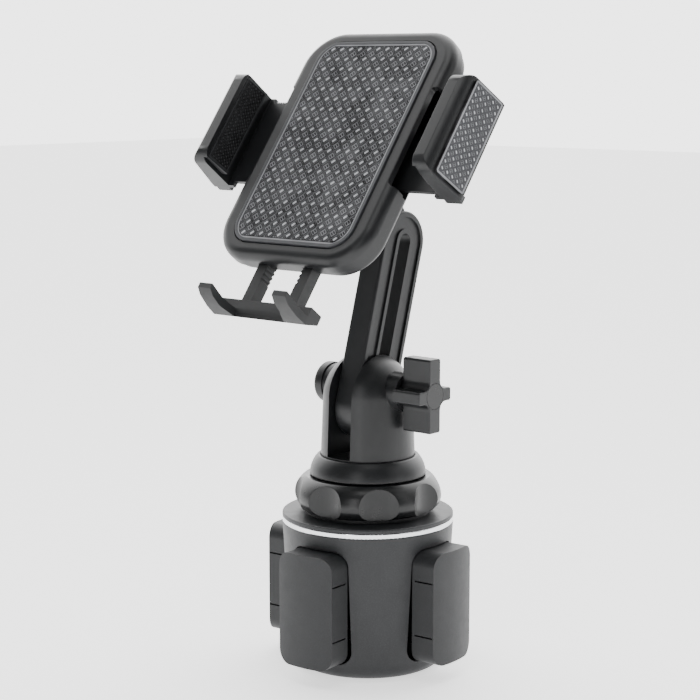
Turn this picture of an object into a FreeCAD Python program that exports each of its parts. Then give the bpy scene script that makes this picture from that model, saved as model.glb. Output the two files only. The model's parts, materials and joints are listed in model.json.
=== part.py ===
"""Cup-holder car phone mount: an expanding cup base, a swivel fork, a slotted arm and a ball-jointed cradle.

Frame: millimetres, +Z up, origin at the centre of the round base where it stands, +X along the
pivot bolt towards the star knob, -Y the side that the phone faces.
"""
import FreeCAD, Part
import math
import os
import re

import Sketcher

doc = FreeCAD.newDocument("CarPhoneMount")

# -------------------------------------------------------- driving sizes, in millimetres or degrees
SIZES = {
    # cup body: a tapered shell with four windows for the feet
    "cup_radius": 33.0, "cup_foot_radius": 30.2, "cup_height": 56.2, "cup_wall": 2.2, "cup_floor": 4.0,
    "cup_edge": 5.0, "base_turn": 4.0, "sole_radius": 22.0, "sole_thick": 1.4, "sole_proud": 0.6,
    "ring_height": 2.1, "ring_wall": 2.0, "cover_thick": 1.6, "cover_boss": 24.0, "cover_boss_high": 1.2,
    "skirt_depth": 3.0, "skirt_wall": 1.5,
    # the four feet: a rubber shoe on a carrier that runs along a rail
    "foot_width": 24.8, "foot_low": 7.0, "foot_high": 50.3, "foot_corner": 5.5, "foot_reach": 41.2,
    "foot_depth": 11.5, "carrier_gap": 0.8, "foot_gap": 0.4, "shoe_wall": 2.2, "foot_in": 8.0,
    "foot_out": 5.4,
    "slot_tall": 0.6, "slot_long": 8.2, "slot_low": 18.2, "slot_high": 39.2,
    "carrier_length": 24.0, "carrier_width": 15.0, "carrier_plate": 5.2, "carrier_web": 3.2,
    "rail_width": 4.0, "rail_high": 3.7, "rail_gap": 0.25, "guide_radius": 24.8, "guide_thick": 1.6,
    "pin_radius": 1.7, "pin_setback": 21.5, "pin_gap": 0.3, "pin_top": 54.0,
    # spindle, cam and hand wheel
    "post_radius": 5.0, "post_high": 80.4, "turn_gap": 0.1, "cam_radius": 28.6, "cam_thick": 2.0,
    "cam_low": 52.3, "cam_lead": 6.75, "hub_radius": 10.8, "wheel_low": 61.6, "wheel_high": 74.2,
    "wheel_radius": 28.5, "wheel_belly": 66.4, "wheel_rim_low": 25.8, "wheel_rim_high": 24.2,
    "wheel_wall": 4.6, "wheel_top": 4.0, "scallop_radius": 15.0, "scallop_depth": 3.2, "scallop_count": 8,
    "screw_radius": 1.2, "screw_head": 2.4, "screw_head_high": 1.4, "cam_screw_circle": 7.6,
    "cam_screw_radius": 1.0, "cam_screw_head": 2.0,
    "base_screw_circle": 18.4,
    # turret: collar, fork, swivel bolt
    "collar_radius": 22.4, "collar_top_radius": 19.3, "collar_low": 74.6, "collar_high": 82.1,
    "collar_bulge": 11.0, "collar_plate": 2.2, "fork_radius": 18.1, "fork_waist": 17.2,
    "fork_shoulder": 104.6, "fork_slot": 11.2, "fork_floor": 82.6, "swivel_radius": 1.5,
    "swivel_head": 4.4, "swivel_head_high": 2.7, "washer_radius": 5.2, "washer_thick": 0.6,
    # pivot, knob
    "pivot_height": 108.0, "pivot_radius": 2.0, "ear_boss": 7.5, "boss_reach": 19.6, "nut_reach": 16.9,
    "step_radius": 6.6, "step_thick": 0.3, "cap_radius": 8.0, "cap_depth": 4.3, "bolt_head": 4.2,
    "bolt_head_thick": 2.7, "knob_back": 20.1, "knob_thick": 12.6, "knob_long": 14.0,
    "knob_long_width": 6.6, "knob_short": 9.6, "knob_short_width": 5.0, "knob_hollow": 3.2,
    "knob_corner": 0.9, "knob_edge": 0.5, "insert_radius": 3.6, "insert_length": 8.6, "disc_radius": 4.8,
    "disc_thick": 0.7,
    # arm
    "arm_lean": 16.16, "arm_radius": 11.76, "arm_thick": 10.2, "arm_top": 57.24, "arm_bottom": -7.7,
    "slot_radius": 3.15, "slot_rim": 1.65, "arm_rim": 2.2, "arm_recess": 0.8, "block_length": 11.0,
    "block_gap": 0.15, "shoulder_radius": 5.0, "shoulder_forward": 6.5, "shoulder_height": 65.5,
    "neck_root_forward": 1.5, "neck_root_height": 62.5, "neck_lean": 41.0, "neck_length": 20.8,
    "neck_radius": 4.1, "neck_tip_radius": 3.2, "ball_radius": 7.5,
    # ball joint on the back of the cradle
    "ball_gap": 0.07, "liner_wall": 0.85, "liner_open": 52.0, "socket_wall": 1.15, "socket_drop": 30.0,
    "pad_drop": 4.0,
    "nut_radius": 12.0, "nut_front": 7.0, "nut_rear": 4.7, "nut_open": 66.0, "nut_edge": 1.2, "nut_ribs": 14,
    "rib_radius": 1.0,
    "flange_radius": 15.0, "flange_thick": 2.0, "spigot_radius": 6.0,
    # cradle shells and pad
    "face_tilt": 37.15, "shell_width": 73.0, "shell_length": 103.0, "shell_corner": 16.0,
    "shell_depth": 7.0, "shell_edge": 4.0, "shell_wall": 2.0, "shell_face": 2.6, "rear_inset": 1.0,
    "rear_depth": 12.0, "rear_floor": 1.7, "rear_edge": 2.5, "pad_width": 57.2, "pad_length": 90.7,
    "pad_corner": 9.0, "pad_seat": 1.4, "pad_groove": 0.6, "pad_rim": 1.3, "pad_rim_high": 0.6,
    "pad_field_high": 0.2, "notch_inner": 33.4, "notch_half": 21.5, "notch_corner": 2.0,
    "post_across": 27.0, "post_along": 41.0, "shell_post": 3.0,
    # clamps, rack and pinion
    "clamp_layer": 10.0, "clamp_thick": 1.8, "clamp_half": 18.6, "clamp_start": 24.9,
    "clamp_in": 15.0, "pinion_radius": 7.0, "pinion_teeth": 14, "tooth_high": 0.9,
    "tooth_deep": 1.2, "rack_bar": 5.2, "rack_end": 6.5, "rack_room": 0.4,
    "axle_radius": 1.5, "hub_high": 1.5, "jaw_half": 20.5, "jaw_inner": 51.6, "jaw_lip": 49.8,
    "jaw_lip_thick": 2.0, "jaw_high": 11.0, "jaw_tip": 55.2, "jaw_shoulder": 57.6, "jaw_shoulder_high": 7.5,
    "jaw_foot": 60.4, "jaw_corner": 5.0, "grip_thick": 1.3, "grip_base": 2.7, "grip_low": 3.0,
    "panel_thick": 1.0, "panel_margin": 1.6, "tread_high": 2.2, "tread_length": 3.0, "serration": 0.5,
    "serration_pitch": 1.2, "coil_radius": 4.4, "wire_radius": 0.35,
    # release slide on the back
    "release_across": 20.0, "release_along": 33.0, "release_travel": 3.0,
    # phone foot
    "leg_inner": 8.4, "leg_outer": 13.1, "leg_end": 20.0, "leg_front": 5.1, "leg_thick": 2.8,
    "bar_half": 22.4, "bar_top": 67.6, "bar_bottom": 70.2, "bar_front": 3.7, "bar_drop": 0.2,
    "bar_lip": 74.3, "hook_reach": 9.4,
    "hook_inner": 14.9, "hook_outer": 21.3, "hook_root_inner": 12.5, "hook_floor": 71.2,
    "hook_tip_top": 69.2, "hook_tip_bottom": 71.2, "deep_end": 38.0, "detent_pitch": 1.9,
    "detent_radius": 0.5, "run_gap": 0.3,
}

sheet = doc.addObject("Spreadsheet::Sheet", "Sizes")
for row, (alias, value) in enumerate(SIZES.items(), start=1):
    sheet.set(f"A{row}", alias)
    sheet.set(f"B{row}", str(value))
    sheet.setAlias(f"B{row}", alias)
doc.recompute()

gauge = doc.addObject("App::FeaturePython", "Gauge")
gauge.addProperty("App::PropertyFloat", "Reading")


def bound(text):
    """A formula in the sheet's words, with each word pointed at its cell."""
    return re.sub(r"[a-z][a-z_]*", lambda m: "Sizes." + m.group() if m.group() in SIZES else m.group(),
        str(text))


def reading(text):
    """The number that a formula comes to, for a first guess at a sketch's points or a pattern's angles."""
    gauge.setExpression("Reading", bound(text))
    gauge.recompute()
    return gauge.Reading


def bind(thing, **formulas):
    """Bind properties to formulas; a double underscore in a name stands for a dot."""
    for name, text in formulas.items():
        thing.setExpression(name.replace("__", "."), bound(text))
    return thing


# ---------------------------------------------------------------- primitives and booleans
def box(name, x, y, z):
    """A box between (low, high) formulas along each axis."""
    made = doc.addObject("Part::Box", name)
    bind(made, Length=f"({x[1]}) - ({x[0]})", Width=f"({y[1]}) - ({y[0]})", Height=f"({z[1]}) - ({z[0]})")
    return bind(made, Placement__Base__x=x[0], Placement__Base__y=y[0], Placement__Base__z=z[0])


def cylinder(name, axis, radius, low, high, at=("0", "0")):
    """A cylinder along X, Y or Z from low to high, with the other two coordinates in at."""
    made = doc.addObject("Part::Cylinder", name)
    bind(made, Radius=radius, Height=f"({high}) - ({low})")
    turn = {"X": ((0, 1, 0), 90), "Y": ((1, 0, 0), -90), "Z": ((0, 0, 1), 0)}[axis]
    made.Placement = FreeCAD.Placement(FreeCAD.Vector(), FreeCAD.Rotation(FreeCAD.Vector(*turn[0]), turn[1]))
    spot = {"X": (low, *at), "Y": (at[0], low, at[1]), "Z": (*at, low)}[axis]
    return bind(made, Placement__Base__x=spot[0], Placement__Base__y=spot[1], Placement__Base__z=spot[2])


def sphere(name, radius, at=("0", "0", "0")):
    made = bind(doc.addObject("Part::Sphere", name), Radius=radius)
    return bind(made, Placement__Base__x=at[0], Placement__Base__y=at[1], Placement__Base__z=at[2])


def fuse(name, *things):
    made = doc.addObject("Part::MultiFuse", name)
    made.Shapes = list(things)
    return made


def cut(name, base, *tools):
    made = doc.addObject("Part::Cut", name)
    made.Base = base
    made.Tool = tools[0] if len(tools) == 1 else fuse(name + "Tools", *tools)
    return made


def common(name, one, other):
    made = doc.addObject("Part::Common", name)
    made.Base = one
    made.Tool = other
    return made


# ---------------------------------------------------------------- bodies made from sketches
def draw(sketch, corners):
    """A closed outline. A corner is (u, v), or (u, v, radius, turn) where an arc leads to the next one:
    turn is 1 for an arc that turns left and -1 for one that turns right."""
    spots = [FreeCAD.Vector(reading(c[0]), reading(c[1]), 0) for c in corners]
    starts = []
    for i, corner in enumerate(corners):
        here, there = spots[i], spots[(i + 1) % len(spots)]
        if len(corner) == 2:
            starts.append((sketch.addGeometry(Part.LineSegment(here, there)), 1, 2))
            continue
        radius, turn = reading(corner[2]), corner[3]
        chord = there - here
        half = chord.Length / 2
        left = FreeCAD.Vector(-chord.y, chord.x, 0).normalize()
        centre = (here + there) * 0.5 + left * (turn * math.sqrt(max(radius**2 - half**2, 0)))
        first, last = (here, there) if turn > 0 else (there, here)
        angles = [math.atan2(p.y - centre.y, p.x - centre.x) for p in (first, last)]
        circle = Part.Circle(centre, FreeCAD.Vector(0, 0, 1), radius)
        arc = sketch.addGeometry(Part.ArcOfCircle(circle, angles[0], angles[1]))
        starts.append((arc, 1, 2) if turn > 0 else (arc, 2, 1))
    for i, (geometry, begin, end) in enumerate(starts):
        following = starts[(i + 1) % len(starts)]
        sketch.addConstraint(Sketcher.Constraint("Coincident", geometry, end, following[0], following[1]))
        for kind, text, guess in (("DistanceX", corners[i][0], spots[i].x),
            ("DistanceY", corners[i][1], spots[i].y)):
            number = sketch.addConstraint(Sketcher.Constraint(kind, geometry, begin, guess))
            sketch.setExpression(f"Constraints[{number}]", bound(text))
        if len(corners[i]) == 4:
            number = sketch.addConstraint(Sketcher.Constraint("Radius", geometry, reading(corners[i][2])))
            sketch.setExpression(f"Constraints[{number}]", bound(corners[i][2]))


def sketched(body, plane, corners, level="0"):
    """A sketch on one of the body's own planes, lifted off it by a formula."""
    sketch = body.newObject("Sketcher::SketchObject", body.Name + "Outline")
    support = next(f for f in body.Origin.OriginFeatures if f.Role == plane)
    sketch.AttachmentSupport = [(support, "")]
    sketch.MapMode = "FlatFace"
    sketch.setExpression("AttachmentOffset.Base.z", bound(level))
    draw(sketch, corners)
    return sketch


def turned(name, corners):
    """A body of revolution about Z; the outline is (radius, height)."""
    body = doc.addObject("PartDesign::Body", name)
    sketch = sketched(body, "XZ_Plane", corners)
    feature = body.newObject("PartDesign::Revolution", name + "Turn")
    feature.Profile = sketch
    feature.ReferenceAxis = (sketch, ["V_Axis"])
    feature.Angle = 360
    body.Tip = feature
    return body


def padded(name, plane, corners, low, high):
    """A body padded from low to high along its plane's normal: +Z on XY, +X on YZ, -Y on XZ."""
    body = doc.addObject("PartDesign::Body", name)
    sketch = sketched(body, plane, corners, low)
    feature = body.newObject("PartDesign::Pad", name + "Pad")
    feature.Profile = sketch
    bind(feature, Length=f"({high}) - ({low})")
    body.Tip = feature
    return body


def softened(body, radius, chosen):
    """Round the edges whose middle point passes the test."""
    doc.recompute()
    base = body.Tip
    picked = []
    for number, edge in enumerate(base.Shape.Edges, start=1):
        middle = edge.valueAt((edge.FirstParameter + edge.LastParameter) / 2)
        if chosen(middle):
            picked.append(f"Edge{number}")
    feature = body.newObject("PartDesign::Fillet", body.Name + "Soft")
    feature.Base = (base, picked)
    bind(feature, Radius=radius)
    body.Tip = feature
    return body


def rounded(u, v, radius):
    """A rectangle between (low, high) formulas with round corners, anticlockwise."""
    (a, b), (c, d) = u, v
    return [
        (f"({a}) + ({radius})", c), (f"({b}) - ({radius})", c, radius, 1),
        (b, f"({c}) + ({radius})"), (b, f"({d}) - ({radius})", radius, 1),
        (f"({b}) - ({radius})", d), (f"({a}) + ({radius})", d, radius, 1),
        (a, f"({d}) - ({radius})"), (a, f"({c}) + ({radius})", radius, 1),
    ]


def stadium(radius, low, high):
    """An upright slot outline with its end centres at low and high, anticlockwise."""
    return [
        (radius, low), (radius, high, radius, 1), ("0", f"({high}) + ({radius})", radius, 1),
        (f"-({radius})", high), (f"-({radius})", low, radius, 1), ("0", f"({low}) - ({radius})", radius, 1),
    ]


# ---------------------------------------------------------------- frames that pieces are placed in
BALL_OUT = "(neck_root_forward + neck_length * sin(neck_lean))"
BALL_UP = "(neck_root_height + neck_length * cos(neck_lean))"
BALL_Y = f"({BALL_UP} * sin(arm_lean) - {BALL_OUT} * cos(arm_lean))"
BALL_Z = f"(pivot_height + {BALL_UP} * cos(arm_lean) + {BALL_OUT} * sin(arm_lean))"
PAD_Y = f"({BALL_Y} - socket_drop * cos(face_tilt) - pad_drop * sin(face_tilt))"
PAD_Z = f"({BALL_Z} + socket_drop * sin(face_tilt) - pad_drop * cos(face_tilt))"
PINION_Y = f"({BALL_Y} - socket_drop * cos(face_tilt))"
PINION_Z = f"({BALL_Z} + socket_drop * sin(face_tilt))"
FRAMES = {
    "base": None,
    "cup": ((0, 0, 1), "base_turn", "0", "0"),
    "foot_right": ((0, 0, 1), "base_turn", "0", "0"),
    "foot_back": ((0, 0, 1), "base_turn + 90", "0", "0"),
    "foot_left": ((0, 0, 1), "base_turn + 180", "0", "0"),
    "foot_front": ((0, 0, 1), "base_turn + 270", "0", "0"),
    "pivot": ((1, 0, 0), "0", "0", "pivot_height"),
    "arm": ((1, 0, 0), "-arm_lean", "0", "pivot_height"),
    "ball": ((1, 0, 0), "90 - face_tilt", BALL_Y, BALL_Z),
    "cradle": ((1, 0, 0), "90 - face_tilt", PAD_Y, PAD_Z),
    "pinion": ((1, 0, 0), "90 - face_tilt", PINION_Y, PINION_Z),
    "pinion_turned": (("0", "-sin(45 - face_tilt / 2)", "cos(45 - face_tilt / 2)"), "180", PINION_Y,
        PINION_Z),
}
nodes = []


def piece(label, thing, frame="base"):
    """Name a finished piece and stand it in its frame; the label is also its file's name."""
    thing.Label = label
    if FRAMES[frame]:
        axis, angle, y, z = FRAMES[frame]
        turn = FreeCAD.Rotation(FreeCAD.Vector(*[reading(part) for part in axis]), reading(angle))
        thing.Placement = FreeCAD.Placement(FreeCAD.Vector(0, reading(y), reading(z)), turn)
        bind(thing, Placement__Base__y=y, Placement__Base__z=z)
        if axis[0] == 1:
            bind(thing, Placement__Rotation__Angle=angle)
    nodes.append(thing)
    return thing


def along(side, low, high):
    """A (low, high) pair on the side of a plane that the sign says."""
    return (low, high) if side > 0 else (f"-({high})", f"-({low})")


def circle(radius):
    return [
        (radius, "0", radius, 1), ("0", radius, radius, 1),
        (f"-({radius})", "0", radius, 1), ("0", f"-({radius})", radius, 1),
    ]


def span(half):
    return (f"-({half})", half)


# ================================================================ cup base, which stands still
FLOOR_TOP = "sole_proud + cup_floor"
RING_TOP = "cup_height + ring_height"
COVER_TOP = "cup_height + ring_height + cover_thick"
GUIDE_TOP = "sole_proud + cup_floor + guide_thick"
DIAGONALS = [(1, 1), (-1, 1), (-1, -1), (1, -1)]


def diagonal(circle_radius, a, b):
    """Where a screw stands on a circle, on the diagonal that the two signs say."""
    return (f"{a} * ({circle_radius}) * cos(45)", f"{b} * ({circle_radius}) * cos(45)")


cup_shell = turned("CupShell", [
    ("0", "sole_proud"),
    ("cup_foot_radius - cup_edge", "sole_proud", "cup_edge", 1),
    ("cup_foot_radius", "sole_proud + cup_edge"),
    ("cup_radius", "cup_height"),
    ("cup_radius - cup_wall", "cup_height"),
    ("cup_foot_radius - cup_wall", "sole_proud + cup_edge + 1"),
    ("cup_foot_radius - cup_edge", FLOOR_TOP),
    ("0", FLOOR_TOP),
])
window = rounded(span("foot_width / 2 + foot_gap"), ("foot_low - foot_gap", "foot_high + foot_gap"),
    "foot_corner")
windows = [
    padded("Window" + plane[:2], plane, window, "-cup_radius - 5", "cup_radius + 5")
    for plane in ("YZ_Plane", "XZ_Plane")
]
screw_wells = [
    fuse(
        f"ScrewWell{i}",
        cylinder(f"WellShaft{i}", "Z", "screw_radius + turn_gap", "0", FLOOR_TOP + " + 1",
            diagonal("base_screw_circle", a, b)),
        cylinder(
            f"WellHead{i}", "Z", "screw_head + turn_gap", "0", "sole_thick + screw_head_high",
            diagonal("base_screw_circle", a, b),
        ),
    )
    for i, (a, b) in enumerate(DIAGONALS)
]
sole_seat = cylinder("SoleSeat", "Z", "sole_radius + turn_gap", "-1", "sole_thick")
piece("cup_body", cut("CupBody", cup_shell, *windows, *screw_wells, sole_seat), "cup")

piece("base_pad", cylinder("BasePad", "Z", "sole_radius", "0", "sole_thick"))

piece("base_screws", fuse("BaseScrews", *[
    fuse(
        f"BaseScrew{i}",
        cylinder(
            f"BaseHead{i}", "Z", "screw_head", "sole_thick", "sole_thick + screw_head_high",
            diagonal("base_screw_circle", a, b),
        ),
        cylinder(
            f"BaseShaft{i}", "Z", "screw_radius", "sole_thick", GUIDE_TOP + " + 3",
            diagonal("base_screw_circle", a, b),
        ),
    )
    for i, (a, b) in enumerate(DIAGONALS)
]), "cup")

# the guide: a disc with four rails for the feet and the spindle that everything turns about
guide_disc = cylinder("GuideDisc", "Z", "guide_radius", FLOOR_TOP, GUIDE_TOP)
spindle = cylinder("Spindle", "Z", "post_radius", FLOOR_TOP, "post_high")
RAIL_TOP = f"{GUIDE_TOP} + rail_high"
rail_reach = ("foot_reach - foot_in - carrier_length", "foot_reach - foot_depth - foot_in - foot_gap")
rails = []
for side in (1, -1):
    rails.append(box(f"RailX{side + 1}", along(side, *rail_reach), span("rail_width / 2"),
        (GUIDE_TOP, RAIL_TOP)))
    rails.append(box(f"RailY{side + 1}", span("rail_width / 2"), along(side, *rail_reach),
        (GUIDE_TOP, RAIL_TOP)))
screw_bosses = [
    cylinder(f"Boss{i}", "Z", "screw_head + 1", GUIDE_TOP, GUIDE_TOP + " + 4",
        diagonal("base_screw_circle", a, b))
    for i, (a, b) in enumerate(DIAGONALS)
]
screw_bores = [
    cylinder(f"Bore{i}", "Z", "screw_radius", "0", GUIDE_TOP + " + 3.2", diagonal("base_screw_circle", a, b))
    for i, (a, b) in enumerate(DIAGONALS)
]
swivel_bore = cylinder("SwivelBore", "Z", "swivel_radius", "post_high - 16", "post_high + 1")
guide = fuse("GuideBlank", guide_disc, spindle, *rails, *screw_bosses)
piece("guide_core", cut("GuideCore", guide, *screw_bores, swivel_bore), "cup")

piece("chrome_ring", softened(turned("ChromeRing", [
    ("cup_radius - ring_wall", "cup_height"), ("cup_radius", "cup_height"),
    ("cup_radius", RING_TOP), ("cup_radius - ring_wall", RING_TOP),
]), "0.4", lambda p: math.hypot(p.x, p.y) > SIZES["cup_radius"] - 0.1))

SKIRT_RADIUS = "cup_radius - cup_wall - foot_gap"
piece("top_cover", turned("TopCover", [
    ("hub_radius + pin_gap", RING_TOP),
    (f"{SKIRT_RADIUS} - skirt_wall", RING_TOP),
    (f"{SKIRT_RADIUS} - skirt_wall", "cup_height - skirt_depth"),
    (SKIRT_RADIUS, "cup_height - skirt_depth"),
    (SKIRT_RADIUS, RING_TOP),
    ("cup_radius", RING_TOP),
    ("cup_radius", f"{COVER_TOP} - 0.5", "0.5", 1),
    ("cup_radius - 0.5", COVER_TOP),
    ("cover_boss", COVER_TOP),
    ("cover_boss", f"{COVER_TOP} + cover_boss_high"),
    ("hub_radius + pin_gap", f"{COVER_TOP} + cover_boss_high"),
]))

# the swivel bolt holds the fork down on the spindle and stands still with it
HEAD_LOW = "fork_floor + turn_gap + washer_thick"
piece("swivel_washer", cut(
    "SwivelWasher",
    cylinder("WasherDisc", "Z", "washer_radius", "fork_floor + turn_gap", HEAD_LOW),
    cylinder("WasherHole", "Z", "swivel_radius + 0.05", "fork_floor - 1", f"{HEAD_LOW} + 1"),
))
piece("swivel_bolt", turned("SwivelBolt", [
    ("0", "post_high - 15"), ("swivel_radius", "post_high - 15"), ("swivel_radius", HEAD_LOW),
    ("swivel_head", HEAD_LOW), ("swivel_head", f"{HEAD_LOW} + swivel_head_high - 1.4", "1.4", 1),
    ("swivel_head - 1.4", f"{HEAD_LOW} + swivel_head_high"), ("0", f"{HEAD_LOW} + swivel_head_high"),
]))

# ================================================================ hand wheel and its cam
wheel_blank = turned("WheelBlank", [
    ("post_radius + turn_gap", "cam_low + cam_thick"),
    ("hub_radius", "cam_low + cam_thick"),
    ("hub_radius", "wheel_high - wheel_top"),
    ("wheel_radius - wheel_wall", "wheel_high - wheel_top"),
    ("wheel_radius - wheel_wall", "wheel_low"),
    ("wheel_rim_low", "wheel_low", "6", 1),
    ("wheel_radius", "wheel_belly", "9.4", 1),
    ("wheel_rim_high", "wheel_high"),
    ("post_radius + turn_gap", "wheel_high"),
])
scallops = []
for i in range(SIZES["scallop_count"]):
    reach = "(wheel_radius + scallop_radius - scallop_depth)"
    turn = f"({i} * 360 / scallop_count)"
    at = (f"{reach} * cos({turn})", f"{reach} * sin({turn})")
    scallops.append(cylinder(f"Scallop{i}", "Z", "scallop_radius", "wheel_low - 1", "wheel_high + 1", at))
cam_screw_spots = [
    (f"cam_screw_circle * cos({60 + 120 * i})", f"cam_screw_circle * sin({60 + 120 * i})") for i in range(3)
]
cam_bores = [
    cylinder(f"HubBore{i}", "Z", "cam_screw_radius", "cam_low - 1", "cam_low + cam_thick + 6.2", at)
    for i, at in enumerate(cam_screw_spots)
]
piece("hand_wheel", cut("HandWheel", wheel_blank, *scallops, *cam_bores), "cup")


def spiral_slot(azimuth):
    """One cam slot: the pin in it moves out by the cam's lead times the angle the plate turns left."""
    rest = reading("foot_reach - pin_setback")
    lead = SIZES["cam_lead"]
    half = SIZES["pin_radius"] + SIZES["pin_gap"]
    first, last = -SIZES["foot_out"] / lead, SIZES["foot_in"] / lead
    steps = 12
    sides = {1: [], -1: []}
    ends = []
    for i in range(steps + 1):
        angle = first + (last - first) * i / steps
        radius = rest - lead * angle
        turn = angle + math.radians(azimuth)
        spot = FreeCAD.Vector(radius * math.cos(turn), radius * math.sin(turn), 0)
        run = FreeCAD.Vector(
            -lead * math.cos(turn) - radius * math.sin(turn),
            -lead * math.sin(turn) + radius * math.cos(turn), 0
        ).normalize()
        across = FreeCAD.Vector(-run.y, run.x, 0)
        for side in sides:
            sides[side].append(spot + across * (side * half))
        if i in (0, steps):
            ends.append(spot + run * (half if i else -half))
    curves = []
    for side in (1, -1):
        curve = Part.BSplineCurve()
        curve.interpolate(sides[side])
        curves.append(curve.toShape())
    caps = [Part.Arc(sides[1][i], end, sides[-1][i]).toShape() for i, end in ((0, ends[0]), (-1, ends[1]))]
    outline = Part.Wire(Part.__sortEdges__([*curves, *caps]))
    slot = Part.Face(outline).extrude(FreeCAD.Vector(0, 0, SIZES["cam_thick"] + 2))
    slot.translate(FreeCAD.Vector(0, 0, SIZES["cam_low"] - 1))
    return slot


cam_slots = doc.addObject("Part::Feature", "CamSlots")
cam_slots.Shape = Part.makeCompound([spiral_slot(azimuth) for azimuth in (0, 90, 180, 270)])
cam_disc = cylinder("CamDisc", "Z", "cam_radius", "cam_low", "cam_low + cam_thick")
cam_hole = cylinder("CamHole", "Z", "post_radius + turn_gap", "cam_low - 1", "cam_low + cam_thick + 1")
cam_screw_holes = [
    cylinder(f"CamScrewHole{i}", "Z", "cam_screw_radius + 0.05", "cam_low - 1", "cam_low + cam_thick + 1", at)
    for i, at in enumerate(cam_screw_spots)
]
piece("cam_plate", cut("CamPlate", cam_disc, cam_slots, cam_hole, *cam_screw_holes), "cup")
piece("cam_screws", fuse("CamScrews", *[
    fuse(
        f"CamScrew{i}",
        cylinder(f"CamHead{i}", "Z", "cam_screw_head", "cam_low - screw_head_high", "cam_low", at),
        cylinder(f"CamShaft{i}", "Z", "cam_screw_radius", "cam_low - 0.5", "cam_low + cam_thick + 6", at),
    )
    for i, at in enumerate(cam_screw_spots)
]), "cup")

# ================================================================ four feet, each along its own radius
SHOE_BACK = "foot_reach - foot_depth"
BLOCK_FRONT = "foot_reach - shoe_wall"
SHOE_HEIGHT = ("foot_low + shoe_wall", "foot_high - shoe_wall")
SHOE_SPAN = span("foot_width / 2 - shoe_wall")


def foot_shoe(side):
    """The rubber shoe: round front, round corners, hollow behind, and two slots in each side wall."""
    outline = rounded(span("foot_width / 2"), ("foot_low", "foot_high"), "foot_corner")
    bar = padded(f"ShoeBar{side}", "YZ_Plane", outline, SHOE_BACK, "foot_reach + 1")
    front = cylinder(f"ShoeFront{side}", "Z", "foot_reach", "foot_low - 1", "foot_high + 1")
    inside = box(f"ShoeInside{side}", (f"{SHOE_BACK} - 1", BLOCK_FRONT), SHOE_SPAN, SHOE_HEIGHT)
    slots = [
        padded(
            f"ShoeSlot{side}{level}", "XZ_Plane",
            rounded(
                (f"{BLOCK_FRONT} - slot_long", BLOCK_FRONT),
                (f"{level} - slot_tall / 2", f"{level} + slot_tall / 2"),
                "slot_tall / 2.1",
            ),
            "-foot_width", "foot_width",
        )
        for level in ("slot_low", "slot_high")
    ]
    return cut(f"Shoe{side}", common(f"ShoeBlank{side}", bar, front), inside, *slots)


def foot_carrier(side):
    """The carrier: a block inside the shoe, a tongue over the rail, and the pin that the cam drives."""
    low, high = "foot_low + carrier_gap", "foot_high - carrier_gap"
    back = "foot_reach - carrier_length"
    tongue = span("carrier_width / 2")
    block = box(f"CarrierBlock{side}", (f"{SHOE_BACK} + 0.1", BLOCK_FRONT), SHOE_SPAN, SHOE_HEIGHT)
    bottom = box(f"CarrierBottom{side}", (back, SHOE_BACK), tongue, (low, f"{low} + carrier_plate"))
    top = box(f"CarrierTop{side}", (back, SHOE_BACK), tongue, (f"{high} - carrier_plate", high))
    neck = box(f"CarrierNeck{side}", (SHOE_BACK, SHOE_BACK + " + 2"), SHOE_SPAN, SHOE_HEIGHT)
    web = box(f"CarrierWeb{side}", (back, SHOE_BACK), span("carrier_web / 2"), (low, high))
    at = ("foot_reach - pin_setback", "0")
    pin = cylinder(f"CarrierPin{side}", "Z", "pin_radius", f"{high} - carrier_plate", "pin_top", at)
    groove = box(
        f"CarrierGroove{side}", (f"{back} - 1", "guide_radius + foot_out + 1"),
        span("rail_width / 2 + rail_gap"),
        ("0", f"{RAIL_TOP} + rail_gap"),
    )
    return cut(f"Carrier{side}", fuse(f"CarrierBlank{side}", block, neck, bottom, top, web, pin), groove)


for side in ("right", "back", "left", "front"):
    piece(f"foot_carrier_{side}", foot_carrier(side.title()), f"foot_{side}")
    piece(f"foot_shoe_{side}", foot_shoe(side.title()), f"foot_{side}")

# ================================================================ turret: collar, fork and pivot bolt
COLLAR_BORE = "fork_radius + 0.1"
FORK_LOW = "collar_low + collar_plate"
piece("turret_collar", turned("TurretCollar", [
    ("post_radius + turn_gap", "collar_low"),
    ("collar_radius", "collar_low", "collar_bulge", 1),
    ("collar_top_radius", "collar_high"),
    (COLLAR_BORE, "collar_high"),
    (COLLAR_BORE, FORK_LOW),
    ("post_radius + turn_gap", FORK_LOW),
]))
fork_blank = turned("ForkBlank", [
    ("0", FORK_LOW), ("fork_radius", FORK_LOW), ("fork_radius", "fork_floor"),
    ("fork_waist", "fork_shoulder", "fork_waist", 1), ("0", "fork_shoulder + fork_waist"),
])
PIVOT_SPOT = ("0", "pivot_height")
fork_solid = fuse(
    "ForkSolid", fork_blank,
    cylinder("KnobBoss", "X", "ear_boss", "0", "boss_reach", PIVOT_SPOT),
    cylinder("BossStep", "X", "step_radius", "0", "boss_reach + step_thick", PIVOT_SPOT),
    cylinder("NutBoss", "X", "ear_boss", "-nut_reach", "0", PIVOT_SPOT),
)
piece("turret_fork", cut(
    "TurretFork", fork_solid,
    box("ForkSlot", span("fork_slot / 2"), span("fork_radius + 5"), ("fork_floor", "pivot_height * 2")),
    cylinder("ForkBore", "Z", "post_radius + turn_gap", "collar_low", "post_high + turn_gap"),
    cylinder("ForkBoltHole", "Z", "swivel_radius + turn_gap", "collar_low", "fork_floor + 1"),
    cylinder("ForkPivotHole", "X", "pivot_radius + 0.05", "-40", "40", PIVOT_SPOT),
    cylinder("CapSeat", "X", "cap_radius + run_gap", "-40", "-nut_reach", PIVOT_SPOT),
))
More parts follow.
